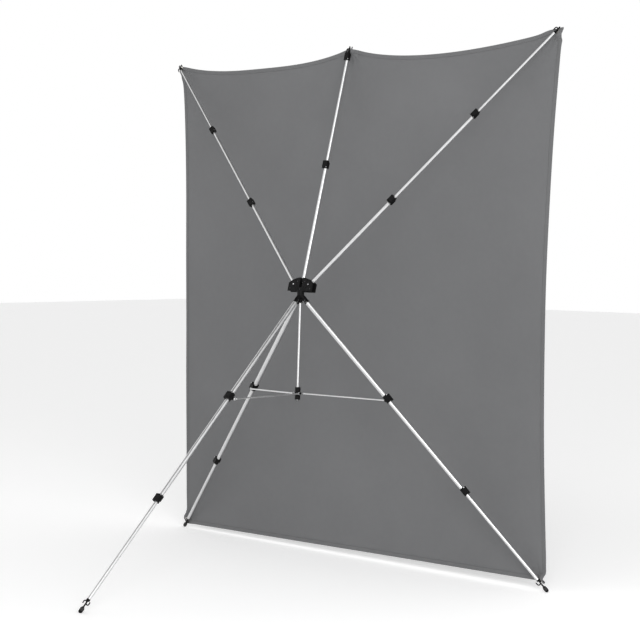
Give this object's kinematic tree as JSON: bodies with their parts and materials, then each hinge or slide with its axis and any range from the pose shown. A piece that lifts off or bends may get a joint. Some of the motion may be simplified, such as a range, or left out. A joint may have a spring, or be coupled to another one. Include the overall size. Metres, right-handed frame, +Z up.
{
  "type": "collapsible backdrop panel on a telescopic folding frame",
  "caption": "Plain grey studio backdrop sheet hooked by its eyelets onto a fold-up tripod frame with telescopic aluminium limbs, black flip locks and a central crown.",
  "frame": {"origin": "on the floor, at the middle of the outline seen from above", "axes": "+X across the sheet, +Y from the frame towards the sheet, +Z up"},
  "size_m": [2.4514, 1.7273, 2.5247],
  "materials": {
    "tube_aluminium": "satin anodised, fine drawn grain along the tube",
    "black_plastic": "moulded glass-filled nylon, fine matt texture",
    "hook_plastic": "moulded nylon, slightly glossier than the clamps",
    "foot_rubber": "soft black rubber, dusty matt",
    "brace_rod": "satin rod with black moulded ends",
    "rod_steel": "plain steel rod and pins",
    "sheet_fabric": "plain woven polyester, matt, narrow stitched hem",
    "eyelet_brass": "nickel-plated brass eyelets"
  },
  "bodies": {
    "frame": {"crown": "black_plastic", "crown_pins": "rod_steel", "spindle": "rod_steel"},
    "leg_rear_upper_section": {"leg_rear_socket": "black_plastic", "leg_rear_outer_tube": "tube_aluminium", "leg_rear_clamp_1": "black_plastic"},
    "leg_rear_upper_flip_lever": {"leg_rear_lever_1": "black_plastic"},
    "leg_rear_middle_section": {"leg_rear_middle_tube": "tube_aluminium", "leg_rear_clamp_2": "black_plastic"},
    "leg_rear_lower_flip_lever": {"leg_rear_lever_2": "black_plastic"},
    "leg_rear_lower_section": {"leg_rear_inner_tube": "tube_aluminium", "leg_rear_hook_foot": "foot_rubber"},
    "leg_left_upper_section": {"leg_left_socket": "black_plastic", "leg_left_outer_tube": "tube_aluminium", "leg_left_clamp_1": "black_plastic"},
    "leg_left_upper_flip_lever": {"leg_left_lever_1": "black_plastic"},
    "leg_left_middle_section": {"leg_left_middle_tube": "tube_aluminium", "leg_left_clamp_2": "black_plastic"},
    "leg_left_lower_flip_lever": {"leg_left_lever_2": "black_plastic"},
    "leg_left_lower_section": {"leg_left_inner_tube": "tube_aluminium", "leg_left_hook_foot": "foot_rubber"},
    "leg_right_upper_section": {"leg_right_socket": "black_plastic", "leg_right_outer_tube": "tube_aluminium", "leg_right_clamp_1": "black_plastic"},
    "leg_right_upper_flip_lever": {"leg_right_lever_1": "black_plastic"},
    "leg_right_middle_section": {"leg_right_middle_tube": "tube_aluminium", "leg_right_clamp_2": "black_plastic"},
    "leg_right_lower_flip_lever": {"leg_right_lever_2": "black_plastic"},
    "leg_right_lower_section": {"leg_right_inner_tube": "tube_aluminium", "leg_right_hook_foot": "foot_rubber"},
    "arm_left_lower_section": {"arm_left_outer_tube": "tube_aluminium", "arm_left_clamp_1": "black_plastic"},
    "arm_left_lower_flip_lever": {"arm_left_lever_1": "black_plastic"},
    "arm_left_middle_section": {"arm_left_middle_tube": "tube_aluminium", "arm_left_clamp_2": "black_plastic"},
    "arm_left_upper_flip_lever": {"arm_left_lever_2": "black_plastic"},
    "arm_left_upper_section": {"arm_left_inner_tube": "tube_aluminium", "arm_left_hook": "hook_plastic"},
    "arm_centre_lower_section": {"arm_centre_outer_tube": "tube_aluminium", "arm_centre_clamp_1": "black_plastic"},
    "arm_centre_lower_flip_lever": {"arm_centre_lever_1": "black_plastic"},
    "arm_centre_middle_section": {"arm_centre_middle_tube": "tube_aluminium", "arm_centre_clamp_2": "black_plastic"},
    "arm_centre_upper_flip_lever": {"arm_centre_lever_2": "black_plastic"},
    "arm_centre_upper_section": {"arm_centre_inner_tube": "tube_aluminium", "arm_centre_hook": "hook_plastic"},
    "arm_right_lower_section": {"arm_right_outer_tube": "tube_aluminium", "arm_right_clamp_1": "black_plastic"},
    "arm_right_lower_flip_lever": {"arm_right_lever_1": "black_plastic"},
    "arm_right_middle_section": {"arm_right_middle_tube": "tube_aluminium", "arm_right_clamp_2": "black_plastic"},
    "arm_right_upper_flip_lever": {"arm_right_lever_2": "black_plastic"},
    "arm_right_upper_section": {"arm_right_inner_tube": "tube_aluminium", "arm_right_hook": "hook_plastic"},
    "spider": {"spider": "black_plastic"},
    "brace_rear": {"brace_rear": "brace_rod"},
    "brace_left": {"brace_left": "brace_rod"},
    "brace_right": {"brace_right": "brace_rod"},
    "sheet": {"backdrop_sheet": "sheet_fabric", "grommets": "eyelet_brass"}
  },
  "joints": [
    {"name": "leg_rear_fold", "type": "hinge", "parent": "frame", "child": "leg_rear_upper_section", "pos_m": [0, 0.46094, 1.28424], "axis": [1, 0, 0], "range_deg": [0, 41.05]},
    {"name": "leg_rear_upper_telescope", "type": "slide", "parent": "leg_rear_upper_section", "child": "leg_rear_middle_section", "axis": [0, 0.7178, 0.6963], "range_m": [0, 0.565]},
    {"name": "leg_rear_lower_telescope", "type": "slide", "parent": "leg_rear_middle_section", "child": "leg_rear_lower_section", "axis": [0, 0.7178, 0.6963], "range_m": [0, 0.525]},
    {"name": "leg_rear_upper_flip_lever_hinge", "type": "hinge", "parent": "leg_rear_upper_section", "child": "leg_rear_upper_flip_lever", "pos_m": [0, 0.01412, 0.87279], "axis": [-1, 0, 0], "range_deg": [0, 110]},
    {"name": "leg_rear_lower_flip_lever_hinge", "type": "hinge", "parent": "leg_rear_middle_section", "child": "leg_rear_lower_flip_lever", "pos_m": [0, -0.41837, 0.45116], "axis": [-1, 0, 0], "range_deg": [0, 110]},
    {"name": "leg_left_fold", "type": "hinge", "parent": "frame", "child": "leg_left_upper_section", "pos_m": [-0.02434, 0.49499, 1.28316], "axis": [-0.3242, -0.9455, 0.03], "range_deg": [0, 41.05]},
    {"name": "leg_left_upper_telescope", "type": "slide", "parent": "leg_left_upper_section", "child": "leg_left_middle_section", "axis": [0.6577, -0.2025, 0.7255], "range_m": [0, 0.543]},
    {"name": "leg_left_lower_telescope", "type": "slide", "parent": "leg_left_middle_section", "child": "leg_left_lower_section", "axis": [0.6577, -0.2025, 0.7255], "range_m": [0, 0.472]},
    {"name": "leg_left_upper_flip_lever_hinge", "type": "hinge", "parent": "leg_left_upper_section", "child": "leg_left_upper_flip_lever", "pos_m": [-0.43445, 0.62198, 0.85348], "axis": [0.3242, 0.9455, -0.03], "range_deg": [0, 110]},
    {"name": "leg_left_lower_flip_lever_hinge", "type": "hinge", "parent": "leg_left_middle_section", "child": "leg_left_lower_flip_lever", "pos_m": [-0.81622, 0.73946, 0.43019], "axis": [0.3242, 0.9455, -0.03], "range_deg": [0, 110]},
    {"name": "leg_right_fold", "type": "hinge", "parent": "frame", "child": "leg_right_upper_section", "pos_m": [0.02434, 0.49499, 1.28316], "axis": [-0.3242, 0.9455, -0.03], "range_deg": [0, 41.05]},
    {"name": "leg_right_upper_telescope", "type": "slide", "parent": "leg_right_upper_section", "child": "leg_right_middle_section", "axis": [-0.6577, -0.2025, 0.7255], "range_m": [0, 0.522]},
    {"name": "leg_right_lower_telescope", "type": "slide", "parent": "leg_right_middle_section", "child": "leg_right_lower_section", "axis": [-0.6577, -0.2025, 0.7255], "range_m": [0, 0.493]},
    {"name": "leg_right_upper_flip_lever_hinge", "type": "hinge", "parent": "leg_right_upper_section", "child": "leg_right_upper_flip_lever", "pos_m": [0.43445, 0.62198, 0.85348], "axis": [0.3242, -0.9455, 0.03], "range_deg": [0, 110]},
    {"name": "leg_right_lower_flip_lever_hinge", "type": "hinge", "parent": "leg_right_middle_section", "child": "leg_right_lower_flip_lever", "pos_m": [0.80241, 0.7352, 0.44542], "axis": [0.3242, -0.9455, 0.03], "range_deg": [0, 110]},
    {"name": "arm_left_fold", "type": "hinge", "parent": "frame", "child": "arm_left_lower_section", "pos_m": [-0.04751, 0.50071, 1.35682], "axis": [0, -0.9625, 0.2714], "range_deg": [0, 135.68]},
    {"name": "arm_left_lower_telescope", "type": "slide", "parent": "arm_left_lower_section", "child": "arm_left_middle_section", "axis": [0.6987, -0.1942, -0.6886], "range_m": [0, 0.52]},
    {"name": "arm_left_upper_telescope", "type": "slide", "parent": "arm_left_middle_section", "child": "arm_left_upper_section", "axis": [0.6987, -0.1942, -0.6886], "range_m": [0, 0.481]},
    {"name": "arm_left_lower_flip_lever_hinge", "type": "hinge", "parent": "arm_left_lower_section", "child": "arm_left_lower_flip_lever", "pos_m": [-0.44449, 0.59849, 1.75162], "axis": [0.7154, 0.1896, 0.6724], "range_deg": [0, 110]},
    {"name": "arm_left_upper_flip_lever_hinge", "type": "hinge", "parent": "arm_left_middle_section", "child": "arm_left_upper_flip_lever", "pos_m": [-0.83504, 0.70844, 2.13615], "axis": [0.7154, 0.1896, 0.6724], "range_deg": [0, 110]},
    {"name": "arm_centre_fold", "type": "hinge", "parent": "frame", "child": "arm_centre_lower_section", "pos_m": [0, 0.50596, 1.37545], "axis": [1, 0, 0], "range_deg": [0, 138]},
    {"name": "arm_centre_lower_telescope", "type": "slide", "parent": "arm_centre_lower_section", "child": "arm_centre_middle_section", "axis": [0, -0.2714, -0.9625], "range_m": [0, 0.517]},
    {"name": "arm_centre_upper_telescope", "type": "slide", "parent": "arm_centre_middle_section", "child": "arm_centre_upper_section", "axis": [0, -0.2714, -0.9625], "range_m": [-0.481, 0]},
    {"name": "arm_centre_lower_flip_lever_hinge", "type": "hinge", "parent": "arm_centre_lower_section", "child": "arm_centre_lower_flip_lever", "pos_m": [0, 0.64763, 1.92586], "axis": [1, 0, 0], "range_deg": [0, 110]},
    {"name": "arm_centre_upper_flip_lever_hinge", "type": "hinge", "parent": "arm_centre_middle_section", "child": "arm_centre_upper_flip_lever", "pos_m": [0, 0.79995, 2.46059], "axis": [1, 0, 0], "range_deg": [0, 110]},
    {"name": "arm_right_fold", "type": "hinge", "parent": "frame", "child": "arm_right_lower_section", "pos_m": [0.04751, 0.50071, 1.35682], "axis": [0, 0.9625, -0.2714], "range_deg": [0, 135.68]},
    {"name": "arm_right_lower_telescope", "type": "slide", "parent": "arm_right_lower_section", "child": "arm_right_middle_section", "axis": [-0.6987, -0.1942, -0.6886], "range_m": [0, 0.52]},
    {"name": "arm_right_upper_telescope", "type": "slide", "parent": "arm_right_middle_section", "child": "arm_right_upper_section", "axis": [-0.6987, -0.1942, -0.6886], "range_m": [0, 0.481]},
    {"name": "arm_right_lower_flip_lever_hinge", "type": "hinge", "parent": "arm_right_lower_section", "child": "arm_right_lower_flip_lever", "pos_m": [0.44449, 0.59849, 1.75162], "axis": [0.7154, -0.1896, -0.6724], "range_deg": [0, 110]},
    {"name": "arm_right_upper_flip_lever_hinge", "type": "hinge", "parent": "arm_right_middle_section", "child": "arm_right_upper_flip_lever", "pos_m": [0.83504, 0.70844, 2.13615], "axis": [0.7154, -0.1896, -0.6724], "range_deg": [0, 110]},
    {"name": "spider_slide", "type": "slide", "parent": "frame", "child": "spider", "axis": [0, 0.0318, 0.9995], "range_m": [0, 0.26333]},
    {"name": "brace_rear_hinge", "type": "hinge", "parent": "spider", "child": "brace_rear", "pos_m": [0, 0.4645, 0.83799], "axis": [1, 0, 0], "range_deg": [0, 83.83]},
    {"name": "brace_left_hinge", "type": "hinge", "parent": "spider", "child": "brace_left", "pos_m": [-0.00757, 0.47509, 0.83766], "axis": [-0.3242, -0.9455, 0.03], "range_deg": [0, 83.83]},
    {"name": "brace_right_hinge", "type": "hinge", "parent": "spider", "child": "brace_right", "pos_m": [0.00757, 0.47509, 0.83766], "axis": [-0.3242, 0.9455, -0.03], "range_deg": [0, 83.83]},
    {"name": "backdrop_lift_off", "type": "slide", "parent": "frame", "child": "sheet", "axis": [0, 1, 0], "range_m": [0, 0.6]}
  ],
  "couplings": [
    {"joint": "leg_left_fold", "follows": "leg_rear_fold", "ratio": 1},
    {"joint": "leg_right_fold", "follows": "leg_rear_fold", "ratio": 1},
    {"joint": "spider_slide", "follows": "leg_rear_fold", "m_per_rad": 0.36755},
    {"joint": "brace_rear_hinge", "follows": "leg_rear_fold", "ratio": 2.0422},
    {"joint": "brace_left_hinge", "follows": "leg_rear_fold", "ratio": 2.0422},
    {"joint": "brace_right_hinge", "follows": "leg_rear_fold", "ratio": 2.0422}
  ]
}
